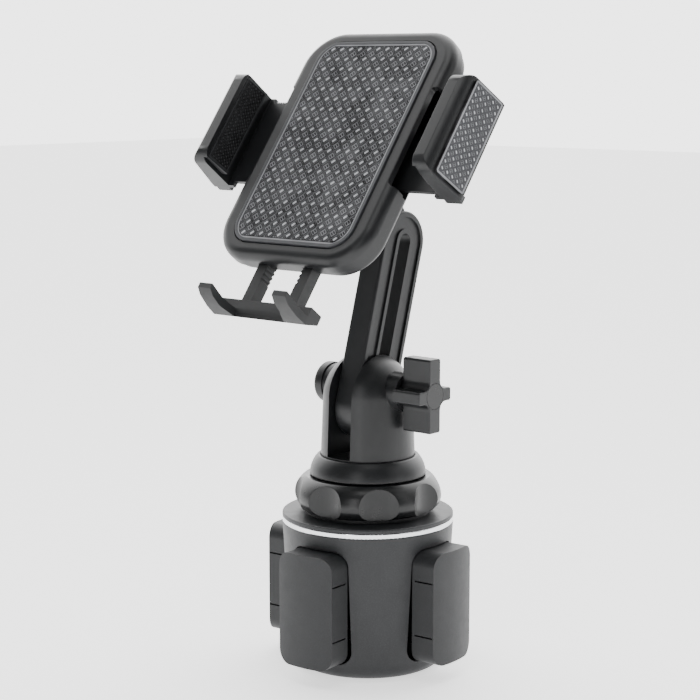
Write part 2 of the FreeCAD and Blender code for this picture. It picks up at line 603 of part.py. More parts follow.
piece("pivot_bolt", fuse(
    "PivotBolt",
    cylinder("PivotHead", "X", "bolt_head", "-nut_reach - bolt_head_thick", "-nut_reach"),
    cylinder("PivotShaft", "X", "pivot_radius", "-nut_reach - 0.5", "knob_back + insert_length - 1"),
), "pivot")
CAP_FACE = "-nut_reach - cap_depth"
cap_blank = softened(
    padded("CapBlank", "YZ_Plane", circle("cap_radius"), CAP_FACE, "-nut_reach"),
    "1.4", lambda p: p.x < -SIZES["nut_reach"] - SIZES["cap_depth"] + 0.01,
)
cap_pocket = cylinder("CapPocket", "X", "bolt_head + 0.1", "-nut_reach - bolt_head_thick - 0.1", "0")
piece("bolt_cap", cut("BoltCap", cap_blank, cap_pocket), "pivot")
WASHER_INNER = "arm_thick / 2 + 0.1"
WASHER_OUTER = "fork_slot / 2 - 0.1"
piece("friction_washers", cut(
    "FrictionWashers",
    fuse("FrictionDiscs", *[
        cylinder(f"FrictionDisc{side + 1}", "X", "ear_boss", *along(side, WASHER_INNER, WASHER_OUTER))
        for side in (1, -1)
    ]),
    cylinder("FrictionHole", "X", "pivot_radius + turn_gap", "-10", "10"),
), "pivot")

# ---------------------------------------------------------------- star knob on the pivot bolt
KNOB_FRONT = "knob_back + knob_thick"


def star():
    """The knob's outline: two long arms up and down, two short ones across, and hollows between them."""
    quarter = [
        ("knob_short", "knob_short_width / 2 - knob_corner", "knob_corner", 1),
        ("knob_short - knob_corner", "knob_short_width / 2"),
        ("knob_long_width / 2 + knob_hollow", "knob_short_width / 2", "knob_hollow", -1),
        ("knob_long_width / 2", "knob_short_width / 2 + knob_hollow"),
        ("knob_long_width / 2", "knob_long - knob_corner", "knob_corner", 1),
        ("knob_long_width / 2 - knob_corner", "knob_long"),
    ]
    corners = []
    for u_sign, v_sign in ((1, 1), (-1, 1), (-1, -1), (1, -1)):
        points = [(f"{u_sign} * ({c[0]})", f"{v_sign} * ({c[1]})") for c in quarter]
        bends = [c[2:] for c in quarter]
        if u_sign * v_sign < 0:
            points = points[::-1]
            bends = bends[-2::-1] + [()]
        corners += [point + tuple(bend) for point, bend in zip(points, bends)]
    return corners


knob_star = softened(
    padded("KnobStar", "YZ_Plane", star(), "knob_back", KNOB_FRONT),
    "knob_edge", lambda p: p.x > SIZES["knob_back"] + SIZES["knob_thick"] - 0.01,
)
piece("star_knob", cut(
    "StarKnob", knob_star,
    cylinder("KnobBore", "X", "insert_radius", "0", "knob_back + insert_length"),
    cylinder("KnobSeat", "X", "disc_radius + 0.15", f"{KNOB_FRONT} - disc_thick", f"{KNOB_FRONT} + 1"),
), "pivot")
piece("knob_insert", cut(
    "KnobInsert",
    cylinder("InsertBar", "X", "insert_radius", "knob_back + 0.2", "knob_back + insert_length"),
    cylinder("InsertBore", "X", "pivot_radius + turn_gap", "0", "knob_back + insert_length - 0.5"),
), "pivot")
piece("knob_disc", padded(
    "KnobDisc", "YZ_Plane", circle("disc_radius"), f"{KNOB_FRONT} - disc_thick", KNOB_FRONT
), "pivot")

# ================================================================ slot block and arm
block_blank = padded(
    "BlockBlank", "YZ_Plane",
    stadium(
        "slot_radius - block_gap", "slot_radius - block_gap - block_length / 2",
        "block_length / 2 - slot_radius + block_gap",
    ),
    "-arm_thick / 2 + 0.2", "arm_thick / 2 - 0.2",
)
piece("slot_block", cut("SlotBlock", block_blank, cylinder("BlockHole", "X", "pivot_radius + 0.06", "-9",
    "9")), "arm")

ARM_SIDE = "arm_thick / 2"
arm_plate = softened(
    padded("ArmPlate", "YZ_Plane", stadium("arm_radius", "arm_bottom", "arm_top"), f"-{ARM_SIDE}", ARM_SIDE),
    "0.9", lambda p: abs(abs(p.x) - SIZES["arm_thick"] / 2) < 0.01,
)
arm_slot = padded("ArmSlot", "YZ_Plane", stadium("slot_radius", "arm_bottom", "arm_top"), "-9", "9")
recesses = []
for side in (1, -1):
    low, high = along(side, f"{ARM_SIDE} - arm_recess", f"{ARM_SIDE} + 1")
    wide = padded(
        f"RecessWide{side + 1}", "YZ_Plane", stadium("arm_radius - arm_rim", "arm_bottom", "arm_top"), low,
        high
    )
    island = padded(
        f"RecessIsland{side + 1}", "YZ_Plane", stadium("slot_radius + slot_rim", "arm_bottom", "arm_top"),
        low, high
    )
    recesses.append(cut(f"Recess{side + 1}", wide, island))
shoulder = cylinder(
    "Shoulder", "X", "shoulder_radius", f"-({ARM_SIDE} - arm_recess)", f"{ARM_SIDE} - arm_recess",
    ("-shoulder_forward", "shoulder_height"),
)


def neck(name):
    """The leaning cone between the arm and the ball."""
    cone = bind(
        doc.addObject("Part::Cone", name), Radius1="neck_radius", Radius2="neck_tip_radius",
        Height="neck_length"
    )
    lean = FreeCAD.Rotation(FreeCAD.Vector(1, 0, 0), SIZES["neck_lean"])
    cone.Placement = FreeCAD.Placement(FreeCAD.Vector(), lean)
    return bind(
        cone, Placement__Base__y="-neck_root_forward", Placement__Base__z="neck_root_height",
        Placement__Rotation__Angle="neck_lean",
    )


arm_blank = fuse("ArmBlank", cut("ArmBar", arm_plate, arm_slot, *recesses), shoulder)
piece("arm", cut("Arm", arm_blank, neck("NeckSeat")), "arm")
ball = sphere("Ball", "ball_radius", ("0", f"-{BALL_OUT}", BALL_UP))
piece("ball_stud", fuse("BallStud", neck("Neck"), ball), "arm")

# ================================================================ ball joint
LINER_IN = "ball_radius + ball_gap"
LINER_OUT = "ball_radius + ball_gap + liner_wall"
CAVITY = f"{LINER_OUT} + 0.05"
SOCKET_RADIUS = f"{CAVITY} + socket_wall"
NUT_BORE = f"{SOCKET_RADIUS} + turn_gap"
BACK = "socket_drop - rear_depth"
piece("ball_liner", turned("BallLiner", [
    (f"({LINER_IN}) * sin(liner_open)", f"({LINER_IN}) * cos(liner_open)"),
    (f"({LINER_OUT}) * sin(liner_open)", f"({LINER_OUT}) * cos(liner_open)", LINER_OUT, 1),
    ("0", LINER_OUT), ("0", LINER_IN, LINER_IN, -1),
]), "ball")
nut_blank = turned("NutBlank", [
    (f"({LINER_IN}) * sin(84)", f"-({LINER_IN}) * cos(84)"),
    (NUT_BORE, f"-({LINER_IN}) * cos(84)"),
    (NUT_BORE, "nut_front"),
    ("nut_radius", "nut_front"),
    ("nut_radius", "nut_edge - nut_rear", "nut_edge", -1),
    ("nut_radius - nut_edge", "-nut_rear"),
    (f"({LINER_IN}) * sin(nut_open)", f"-({LINER_IN}) * cos(nut_open)", LINER_IN, 1),
])
nut_ribs = []
for i in range(SIZES["nut_ribs"]):
    turn = f"({i} * 360 / nut_ribs)"
    at = (f"(nut_radius - rib_radius / 2) * cos({turn})", f"(nut_radius - rib_radius / 2) * sin({turn})")
    nut_ribs.append(cylinder(f"NutRib{i}", "Z", "rib_radius", "nut_edge - nut_rear", "nut_front - 0.8", at))
piece("ball_nut", fuse("BallNut", nut_blank, *nut_ribs), "ball")
piece("ball_socket", turned("BallSocket", [
    (CAVITY, "-0.5"), (SOCKET_RADIUS, "-0.5"), (SOCKET_RADIUS, "nut_front + 1"),
    ("nut_radius", f"{BACK} - flange_thick - 2"), ("flange_radius", f"{BACK} - flange_thick"),
    ("flange_radius", BACK), ("spigot_radius", BACK), ("spigot_radius", f"{BACK} + rear_floor"),
    ("0", f"{BACK} + rear_floor"), ("0", CAVITY, CAVITY, -1), (CAVITY, "0"),
]), "ball")

# ================================================================ cradle shells
def plate(name, width, length, radius, low, high):
    """A round-cornered plate centred on the pad."""
    return padded(name, "XY_Plane", rounded(span(f"({width}) / 2"), span(f"({length}) / 2"), radius), low,
        high)


FACE_UNDER = "-shell_face"
FLOOR_INNER = "rear_floor - rear_depth"
LAYER = ("-clamp_layer", "clamp_thick - clamp_layer")
LEG_LAYER = ("-leg_front - leg_thick", "-leg_front")
CORNERS = [(a, b) for a in (1, -1) for b in (1, -1)]
shell_posts = [
    cylinder(f"ShellPost{i}", "Z", "shell_post", FLOOR_INNER, FACE_UNDER,
        (f"{a} * post_across", f"{b} * post_along"))
    for i, (a, b) in enumerate(CORNERS)
]
shell_bores = [
    cylinder(f"ShellBore{i}", "Z", "screw_radius", "-rear_depth", "-shell_face - 1",
        (f"{a} * post_across", f"{b} * post_along"))
    for i, (a, b) in enumerate(CORNERS)
]
leg_ways = [
    box(
        f"LegWay{side + 1}", along(side, "leg_inner - run_gap", "leg_outer + run_gap"),
        ("-shell_length", "-post_along"), (FLOOR_INNER, f"{LEG_LAYER[1]} + run_gap"),
    )
    for side in (1, -1)
]
notches = [
    padded(
        f"Notch{side + 1}", "XY_Plane",
        rounded(
            along(side, "notch_inner", "shell_width"), ("pad_drop - notch_half", "pad_drop + notch_half"),
            "notch_corner",
        ),
        "-shell_depth - 1", "1",
    )
    for side in (1, -1)
]
front_blank = softened(
    plate("FrontBlank", "shell_width", "shell_length", "shell_corner", "-shell_depth", "0"),
    "shell_edge", lambda p: p.z > -0.01,
)
front_inside = plate(
    "FrontInside", "shell_width - 2 * shell_wall", "shell_length - 2 * shell_wall",
    "shell_corner - shell_wall",
    "-shell_depth - 1", FACE_UNDER,
)
pad_seat = plate(
    "PadSeat", "pad_width + 2 * pad_groove", "pad_length + 2 * pad_groove", "pad_corner + pad_groove",
    "-pad_seat", "1"
)
front_cup = cut("FrontCup", front_blank, front_inside, pad_seat)
piece("front_shell", cut(
    "FrontShell", fuse("FrontWithPosts", front_cup, *shell_posts), *notches, *leg_ways, *shell_bores
), "cradle")

rear_blank = softened(
    plate(
        "RearBlank", "shell_width - 2 * rear_inset", "shell_length - 2 * rear_inset",
        "shell_corner - rear_inset",
        "-rear_depth", "-shell_depth",
    ),
    "rear_edge", lambda p: p.z < -SIZES["rear_depth"] + 0.01,
)
rear_inside = plate(
    "RearInside", "shell_width - 2 * rear_inset - 2 * shell_wall",
    "shell_length - 2 * rear_inset - 2 * shell_wall",
    "shell_corner - rear_inset - shell_wall", FLOOR_INNER, "0",
)
clamp_way = box(
    "ClampWay", span("shell_width"), ("pad_drop - notch_half", "pad_drop + notch_half"), (FLOOR_INNER, "0")
)
rear_wells = [
    fuse(
        f"RearWell{i}",
        cylinder(f"RearWellShaft{i}", "Z", "screw_radius + turn_gap", "-rear_depth - 1", "0", at),
        cylinder(f"RearWellHead{i}", "Z", "screw_head + turn_gap", "-rear_depth - 1", "-rear_depth + 1", at),
    )
    for i, at in enumerate((f"{a} * post_across", f"{b} * post_along") for a, b in CORNERS)
]
RELEASE_Y = "pad_drop + release_along"
release_way = box(
    "ReleaseWay", ("-release_across - 2", "2 - release_across"),
    (f"{RELEASE_Y} - 4.5", f"{RELEASE_Y} + release_travel - 1"), ("-rear_depth - 1", "0"),
)
spigot_hole = cylinder("SpigotHole", "Z", "spigot_radius + 0.05", "-rear_depth - 1", "0", ("0", "pad_drop"))
piece("rear_shell", cut(
    "RearShell", rear_blank, rear_inside, clamp_way, spigot_hole, release_way, *rear_wells, *leg_ways
), "cradle")
piece("shell_screws", fuse("ShellScrews", *[
    fuse(
        f"ShellScrew{i}",
        cylinder(f"ShellScrewHead{i}", "Z", "screw_head", "-rear_depth", "-rear_depth + 1", at),
        cylinder(f"ShellScrewShaft{i}", "Z", "screw_radius", "-rear_depth", "-shell_face - 1.2", at),
    )
    for i, at in enumerate((f"{a} * post_across", f"{b} * post_along") for a, b in CORNERS)
]), "cradle")
pad_plate = plate("PadPlate", "pad_width", "pad_length", "pad_corner", "-pad_seat", "pad_rim_high")
pad_sunk = plate(
    "PadSunk", "pad_width - 2 * pad_rim", "pad_length - 2 * pad_rim", "pad_corner - pad_rim",
    "pad_field_high", "2"
)
piece("grip_pad", cut("GripPad", pad_plate, pad_sunk), "cradle")

# ================================================================ pinion and its two racks
PITCH = "(2 * 3.14159265 * pinion_radius / pinion_teeth)"
piece("pinion_axle", padded("PinionAxle", "XY_Plane", circle("axle_radius"), FLOOR_INNER, "-shell_face"),
    "pinion")


def pinion_outline():
    """A pinion with straight-sided teeth, thin enough to run in the racks with play."""
    count = SIZES["pinion_teeth"]
    tip = SIZES["pinion_radius"] + SIZES["tooth_high"]
    root = SIZES["pinion_radius"] - SIZES["tooth_deep"]
    step = 2 * math.pi / count
    points = []
    for i in range(count):
        for radius, share in ((root, -0.3), (tip, -0.1), (tip, 0.1), (root, 0.3)):
            turn = math.pi / 2 + (i + share) * step
            points.append(FreeCAD.Vector(radius * math.cos(turn), radius * math.sin(turn), 0))
    return Part.Face(Part.makePolygon(points + points[:1]))


pinion_wheel = doc.addObject("Part::Feature", "PinionWheel")
pinion_gear = pinion_outline().extrude(FreeCAD.Vector(0, 0, SIZES["clamp_thick"]))
pinion_gear.translate(FreeCAD.Vector(0, 0, -SIZES["clamp_layer"]))
pinion_wheel.Shape = pinion_gear
pinion_hub = cylinder("PinionHub", "Z", "axle_radius * 2", LAYER[0], f"{LAYER[1]} + hub_high")
piece("sync_pinion", cut(
    "SyncPinion", fuse("PinionBlank", pinion_wheel, pinion_hub),
    cylinder("PinionBore", "Z", "axle_radius + 0.06", "-rear_depth", "0"),
), "pinion")

ROOT = "(pinion_radius + tooth_deep)"
TIP = "(pinion_radius - tooth_high)"
JAW_FLARE = "((jaw_foot - jaw_shoulder) / (jaw_shoulder_high + clamp_layer - clamp_thick))"


def outer_face(height):
    """How far out the jaw's flared outer face lies at a height."""
    return f"(jaw_shoulder + (jaw_shoulder_high - ({height})) * {JAW_FLARE})"


def clamp(side):
    """A sliding clamp: plate, rack, serrated edge, and the jaw that stands at its outer end."""
    slab = box(f"ClampSlab{side}", ("clamp_start", "jaw_inner + 2"), span("clamp_half"), LAYER)
    pocket = box(
        f"ClampPocket{side}", ("0", "rack_end + 2 * clamp_in + rack_room * 2"),
        (f"{TIP} - rack_room", f"{ROOT} + rack_bar + rack_room"), ("-rear_depth", "0"),
    )
    bar = box(f"RackBar{side}", ("-rack_end", "clamp_start + 1"), (f"-{ROOT} - rack_bar", f"-{ROOT}"), LAYER)
    teeth = []
    for i in range(-2, 6):
        middle = f"({i} + 0.5) * {PITCH}"
        tooth = doc.addObject("Part::Wedge", f"RackTooth{side}{i + 2}")
        bind(
            tooth, Xmin=f"{middle} - 0.27 * {PITCH}", Xmax=f"{middle} + 0.27 * {PITCH}",
            X2min=f"{middle} - 0.09 * {PITCH}", X2max=f"{middle} + 0.09 * {PITCH}",
            Ymin=f"-{ROOT} - 0.2", Ymax=f"-{TIP}", Zmin=LAYER[0], Zmax=LAYER[1], Z2min=LAYER[0],
            Z2max=LAYER[1],
        )
        teeth.append(tooth)
    edge = []
    for i in range(18 if side == "Left" else 0):
        start = f"clamp_start + 2 + {i} * serration_pitch"
        tooth = doc.addObject("Part::Wedge", f"EdgeTooth{side}{i}")
        bind(
            tooth, X2min=start, X2max=f"{start} + serration_pitch * 0.8",
            Xmin=f"{start} + serration_pitch * 0.55",
            Xmax=f"{start} + serration_pitch * 0.8", Ymin="-clamp_half - serration", Ymax="0.2 - clamp_half",
            Zmin=LAYER[0], Zmax=LAYER[1], Z2min=LAYER[0], Z2max=LAYER[1],
        )
        edge.append(tooth)
    profile = [
        ("jaw_inner - 2.5", LAYER[0]), ("jaw_foot", LAYER[0]), ("jaw_foot", LAYER[1]),
        ("jaw_shoulder", "jaw_shoulder_high", "5.5", 1), ("jaw_tip - 1", "jaw_high"), ("jaw_lip", "jaw_high"),
        ("jaw_lip", "jaw_high - jaw_lip_thick"), ("jaw_inner", "jaw_high - jaw_lip_thick"),
        ("jaw_inner", LAYER[1]), ("jaw_inner - 2.5", LAYER[1]),
    ]
    wall = padded(f"JawWall{side}", "XZ_Plane", profile, "-jaw_half", "jaw_half")
    trim = padded(f"JawTrim{side}", "YZ_Plane", [
        ("-jaw_half", LAYER[0]), ("jaw_half", LAYER[0]),
        ("jaw_half", "jaw_high - jaw_corner", "jaw_corner", 1),
        ("jaw_half - jaw_corner", "jaw_high"), ("jaw_corner - jaw_half", "jaw_high", "jaw_corner", 1),
        ("-jaw_half", "jaw_high - jaw_corner"),
    ], "jaw_lip - 5", "jaw_foot + 5")
    lower = 1 if side == "Left" else -1
    tread = box(
        f"JawTread{side}", ("jaw_foot - 8", "jaw_foot - 1"),
        along(lower, "jaw_half - tread_length", "jaw_half"), (f"{LAYER[0]} - tread_high", LAYER[0]),
    )
    jaw = common(f"Jaw{side}", wall, trim)
    return fuse(f"Clamp{side}", cut(f"ClampPlate{side}", slab, pocket), bar, *teeth, *edge, jaw, tread)


def jaw_grip(side):
    """The soft pad inside the jaw, thicker towards its foot."""
    return padded(f"JawGrip{side}", "XZ_Plane", [
        ("jaw_inner", "-grip_low"), ("jaw_inner", "jaw_high - jaw_lip_thick - 0.1"),
        ("jaw_inner - grip_thick", "jaw_high - jaw_lip_thick - 0.1"), ("jaw_inner - grip_base", "-grip_low"),
    ], "-jaw_half + panel_margin", "jaw_half - panel_margin")


def jaw_panel(side):
    """The textured panel on the jaw's outer face."""
    top = "(jaw_shoulder_high - panel_margin)"
    bottom = "(clamp_thick - clamp_layer + panel_margin / 2)"
    return padded(f"JawPanel{side}", "XZ_Plane", [
        (outer_face(bottom), bottom), (f"{outer_face(bottom)} + panel_thick", bottom),
        (f"{outer_face(top)} + panel_thick", top), (outer_face(top), top),
    ], "-jaw_half + panel_margin", "jaw_half - panel_margin")


for side, frame in (("right", "pinion"), ("left", "pinion_turned")):
    piece(f"clamp_{side}", clamp(side.title()), frame)
    piece(f"clamp_grip_{side}", jaw_grip(side.title()), frame)
    piece(f"clamp_panel_{side}", jaw_panel(side.title()), frame)

# -------------------------------------------------------- release slide with its pawl
RELEASE = "(-release_across)"
PAWL_LOW = "clamp_half + serration + run_gap"
thumb = box(
    "ThumbPlate", (f"{RELEASE} - 6", f"{RELEASE} + 6"), ("release_along - 8", "release_along + 2"),
    ("-rear_depth - 1.8", "-rear_depth - 0.15"),
)
thumb_ridges = [
    box(
        f"ThumbRidge{i}", (f"{RELEASE} - 4.5", f"{RELEASE} + 4.5"),
        (f"release_along - {6.6 - 2.2 * i}", f"release_along - {5.6 - 2.2 * i}"),
        ("-rear_depth - 2.5", "-rear_depth - 1.7"),
    )
    for i in range(4)
]
thumb_neck = box(
    "ThumbNeck", (f"{RELEASE} - 1.8", f"{RELEASE} + 1.8"), ("release_along - 4.3", "release_along - 1.3"),
    ("-rear_depth - 0.2", LAYER[0]),
)
piece("release_slide", fuse("ReleaseSlide", thumb, *thumb_ridges, thumb_neck), "pinion")
pawl_arm = box(
    "PawlArm", (f"{RELEASE} - 12", f"{RELEASE} + 3"), ("release_along - 8", "release_along - 5"), LAYER
)
pawl_seat = box(
    "PawlSeat", (f"{RELEASE} - 1.8", f"{RELEASE} + 1.8"), ("release_along - 5.1", "release_along - 1.3"),
    LAYER
)
pawl_tip = box("PawlTip", (f"{RELEASE} - 12", f"{RELEASE} - 9"), (PAWL_LOW, "release_along - 7.9"), LAYER)
piece("ratchet_pawl", fuse("RatchetPawl", pawl_arm, pawl_seat, pawl_tip), "pinion")


def coil(name, radius, height, pitch):
    """A wire coil standing on its own origin along Z."""
    helix = doc.addObject("Part::Helix", name + "Helix")
    bind(helix, Radius=radius, Height=height, Pitch=pitch)
    ring = doc.addObject("Part::Circle", name + "Ring")
    bind(ring, Radius="wire_radius")
    ring.Placement = FreeCAD.Placement(FreeCAD.Vector(), FreeCAD.Rotation(FreeCAD.Vector(1, 0, 0), 90))
    bind(ring, Placement__Base__x=radius)
    wire = doc.addObject("Part::Sweep", name)
    wire.Sections = [ring]
    wire.Spine = (helix, ["Edge1"])
    wire.Solid = True
    wire.Frenet = True
    return wire


spring_wire = coil("ClampSpringWire", "coil_radius", "1.6", "0.8")
spring_wire.Placement = FreeCAD.Placement(FreeCAD.Vector(0, 0, reading(f"{LAYER[1]} + wire_radius + 0.15")),
    FreeCAD.Rotation())
bind(spring_wire, Placement__Base__z=f"{LAYER[1]} + wire_radius + 0.15")
piece("clamp_spring", fuse("ClampSpring", spring_wire, cylinder(
    "SpringTail", "X", "wire_radius", "coil_radius - wire_radius", "coil_radius + 2",
    ("0", f"{LAYER[1]} + wire_radius + 0.15"),
)), "pinion")

# ================================================================ phone foot, which slides
BAR_LOW = "-rear_depth - bar_drop"
legs = [
    box(f"FootLeg{side + 1}", along(side, "leg_inner", "leg_outer"), ("-bar_top - 1", "-leg_end"), LEG_LAYER)
    for side in (1, -1)
]
deep_legs = [
    box(
        f"DeepLeg{side + 1}", along(side, "leg_inner", "leg_outer"), ("-bar_top - 1", "-deep_end"),
        (f"{FLOOR_INNER} + run_gap", "-leg_front"),
    )
    for side in (1, -1)
]
detents = []
for side in (1, -1):
    for i in range(18):
        at = (f"{side} * leg_inner", f"detent_pitch * {i} - bar_top + 10")
        detents.append(cylinder(f"Detent{side + 1}N{i}", "Z", "detent_radius", "-rear_depth", "0", at))
crossbar = padded("CrossBar", "YZ_Plane", [
    ("-bar_bottom", BAR_LOW), ("-bar_top", BAR_LOW), ("-bar_top", "-bar_front"),
    ("-hook_floor", "-bar_front"), ("-bar_lip", "-bar_front - 0.9"),
], "-bar_half", "bar_half")
hook_side = padded("HookSide", "YZ_Plane", [
    ("-bar_bottom", BAR_LOW), ("-bar_top", BAR_LOW), ("-bar_top", "-bar_front"),
    ("-hook_floor", "-bar_front"), ("-hook_floor", "2 - bar_front"),
    ("-hook_tip_top - 0.9", "hook_reach / 2"), ("-hook_tip_top", "hook_reach"),
    ("-hook_tip_bottom", "hook_reach"), ("-hook_tip_bottom - 1.6", "hook_reach * 0.7"),
    ("0.3 - bar_lip", "hook_reach * 0.1"), ("-bar_lip", "-bar_front - 0.9"),
], "-bar_half", "bar_half")
hook_fronts = [
    padded(f"HookFront{side + 1}", "XZ_Plane", [
        (f"{side} * ({u})", v) for u, v in (
            ("hook_inner", "hook_reach"), ("hook_outer", "hook_reach"),
            ("hook_outer + 0.4", "hook_reach / 3"),
            ("bar_half", "-bar_front"), ("bar_half", "2 - rear_depth"), ("bar_half - 2", BAR_LOW),
            ("hook_root_inner", BAR_LOW), ("hook_root_inner", "-bar_front"), ("hook_inner", "hook_reach / 4"),
        )
    ], "bar_top - 5", "bar_bottom + 5")
    for side in (1, -1)
]
hooks = [common(f"Hook{i}", hook_side, front) for i, front in enumerate(hook_fronts)]
corner_trims = [
    padded(f"BarCorner{side + 1}", "XZ_Plane", [
        (f"{side} * (bar_half + 1)", "2 - rear_depth"), (f"{side} * bar_half", "2 - rear_depth"),
        (f"{side} * (bar_half - 2)", BAR_LOW), (f"{side} * (bar_half - 2)", f"{BAR_LOW} - 1"),
        (f"{side} * (bar_half + 1)", f"{BAR_LOW} - 1"),
    ], "bar_top - 5", "bar_bottom + 5")
    for side in (1, -1)
]
leg_pair = cut("FootLegs", fuse("FootLegPair", *legs, *deep_legs), *detents)
piece("phone_foot", cut("PhoneFoot", fuse("PhoneFootBlank", leg_pair, crossbar, *hooks), *corner_trims),
    "cradle")
CLIP_HALF = "leg_inner - run_gap"
piece("detent_clip", fuse(
    "DetentClip",
    box("ClipBar", span(CLIP_HALF), ("4 - shell_length / 2", "6.5 - shell_length / 2"), LEG_LAYER),
    box("ClipRoot", span("3"), ("4 - shell_length / 2", "6.5 - shell_length / 2"),
        ("-leg_front - 0.1", FACE_UNDER)),
), "cradle")

# ================================================================ check and write every piece
doc.recompute()
for thing in doc.Objects:
    if {"Invalid", "Error"} & set(thing.State):
        raise RuntimeError(f"{thing.Name} did not build: {thing.State}")
for thing in nodes:
    if thing.Shape.isNull() or not thing.Shape.isValid() or not thing.Shape.Solids:
        raise RuntimeError(f"{thing.Label} has no valid solid")
os.makedirs("parts", exist_ok=True)
for thing in nodes:
    thing.Shape.exportStep(f"parts/{thing.Label}.step")
print(f"{len(nodes)} pieces written")
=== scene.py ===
"""Car phone mount for a cup holder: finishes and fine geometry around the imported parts.

Metres, +Z up, the origin under the middle of the base, the phone's side towards -Y.
"""
import json
import math

import bpy
import numpy as np
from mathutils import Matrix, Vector


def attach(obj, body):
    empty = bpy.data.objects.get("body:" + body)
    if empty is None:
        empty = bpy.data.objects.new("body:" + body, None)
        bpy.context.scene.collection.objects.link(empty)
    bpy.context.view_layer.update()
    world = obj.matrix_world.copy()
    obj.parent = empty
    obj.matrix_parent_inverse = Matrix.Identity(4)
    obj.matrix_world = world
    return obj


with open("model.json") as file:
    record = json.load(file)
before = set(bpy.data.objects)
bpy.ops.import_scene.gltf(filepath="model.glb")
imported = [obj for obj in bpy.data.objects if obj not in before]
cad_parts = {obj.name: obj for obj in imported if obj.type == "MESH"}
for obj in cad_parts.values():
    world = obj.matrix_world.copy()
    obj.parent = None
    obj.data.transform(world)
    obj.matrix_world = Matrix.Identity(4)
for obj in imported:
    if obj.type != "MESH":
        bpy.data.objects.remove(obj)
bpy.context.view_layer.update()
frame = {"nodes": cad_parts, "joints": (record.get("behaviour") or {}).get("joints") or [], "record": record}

# ---------------------------------------------------------------- studio
# A pale sweep that glows faintly, like a light table, in a white cove that is brightest behind
# the object. A soft box at the right, a strip in front and a box overhead light the plastic.


def linear(hex_code):
    """An sRGB hex colour as linear RGBA."""
    parts = [int(hex_code[i:i + 2], 16) / 255 for i in (1, 3, 5)]
    return (*[c / 12.92 if c <= 0.04045 else ((c + 0.055) / 1.055) ** 2.4 for c in parts], 1.0)


def add(tree, kind, settings=None, inputs=None):
    """Adds a node with its settings, and its inputs as numbers, colours or other nodes' outputs."""
    node = tree.nodes.new(kind)
    for name, value in (settings or {}).items():
        setattr(node, name, value)
    for name, value in (inputs or {}).items():
        if isinstance(value, bpy.types.NodeSocket):
            tree.links.new(value, node.inputs[name])
        else:
            node.inputs[name].default_value = value
    return node


def blank_material(name):
    """A material with an empty tree, and its output node."""
    made = bpy.data.materials.new(name)
    made.use_nodes = True
    made.node_tree.nodes.clear()
    return made, made.node_tree, add(made.node_tree, "ShaderNodeOutputMaterial")


def paper_sweep():
    """Matt white backdrop paper lit from below: a faint fibre mottle, no gloss, a soft glow."""
    made, tree, out = blank_material("matt_backdrop_paper")
    place = add(tree, "ShaderNodeTexCoord")
    fibre = add(tree, "ShaderNodeTexNoise", None, {
        "Vector": place.outputs["Object"], "Scale": 300.0, "Detail": 4.0,
    })
    tone = add(tree, "ShaderNodeMix", {"data_type": "RGBA"}, {"Factor": fibre.outputs["Fac"]})
    tone.inputs["A"].default_value = linear("#f1f1f1")
    tone.inputs["B"].default_value = linear("#f4f4f4")
    skin = add(tree, "ShaderNodeBsdfPrincipled", None, {
        "Base Color": tone.outputs["Result"], "Roughness": 0.9, "Specular IOR Level": 0.1,
        "Emission Color": linear("#ffffff"), "Emission Strength": 1.2,
    })
    tree.links.new(skin.outputs["BSDF"], out.inputs["Surface"])
    return made


bpy.ops.mesh.primitive_plane_add(size=8.0, location=(0, 0, -0.0002))
floor = bpy.context.object
floor.name = "backdrop_floor"
floor.data.materials.append(paper_sweep())

world = bpy.data.worlds.new("white_cove")
bpy.context.scene.world = world
world.use_nodes = True
sky = world.node_tree
cove = sky.nodes["Background"]
cove.inputs["Color"].default_value = linear("#ffffff")
BRIGHT_SIDE = (-0.55, 0.80, 0.25)  # the way to the brightest part of the cove
DIM, BRIGHT = 0.10, 5.0
around = add(sky, "ShaderNodeTexCoord").outputs["Generated"]
facing = add(sky, "ShaderNodeVectorMath", {"operation": "DOT_PRODUCT"}, {"Vector": around})
facing.inputs[1].default_value = BRIGHT_SIDE
glow = add(sky, "ShaderNodeMapRange", {"interpolation_type": "SMOOTHSTEP"}, {
    "Value": facing.outputs["Value"], "From Min": -0.1, "From Max": 0.92,
    "To Min": DIM, "To Max": BRIGHT,
})
# the cove darkens a little towards the horizon, where it meets the sweep
rise = add(sky, "ShaderNodeSeparateXYZ", None, {"Vector": around})
falloff = add(sky, "ShaderNodeMapRange", {"interpolation_type": "SMOOTHSTEP"}, {
    "Value": rise.outputs["Z"], "From Min": 0.03, "From Max": 0.4,
    "To Min": 0.72, "To Max": 1.0,
})
strength = add(sky, "ShaderNodeMath", {"operation": "MULTIPLY"})
sky.links.new(glow.outputs["Result"], strength.inputs[0])
sky.links.new(falloff.outputs["Result"], strength.inputs[1])
sky.links.new(strength.outputs["Value"], cove.inputs["Strength"])

OBJECT_MIDDLE = Vector((0, 0, 0.12))


def soft_box(name, azimuth, height, distance, size, power):
    """A soft box at an azimuth round the object, aimed at its middle."""
    light = bpy.data.lights.new(name, "AREA")
    light.shape = "RECTANGLE"
    light.size, light.size_y = size
    light.energy = power
    holder = bpy.data.objects.new(name, light)
    turn = math.radians(azimuth)
    holder.location = (math.sin(turn) * distance, -math.cos(turn) * distance, height)
    aim = OBJECT_MIDDLE - holder.location
    holder.rotation_euler = aim.to_track_quat("-Z", "Y").to_euler()
    bpy.context.scene.collection.objects.link(holder)


soft_box("right_soft_box", azimuth=105, height=0.40, distance=0.75, size=(0.22, 0.8), power=0.9)
soft_box("front_strip", azimuth=18, height=0.25, distance=0.90, size=(0.10, 0.9), power=2.0)
soft_box("top_soft_box", azimuth=35, height=0.95, distance=0.30, size=(0.5, 0.5), power=2.8)

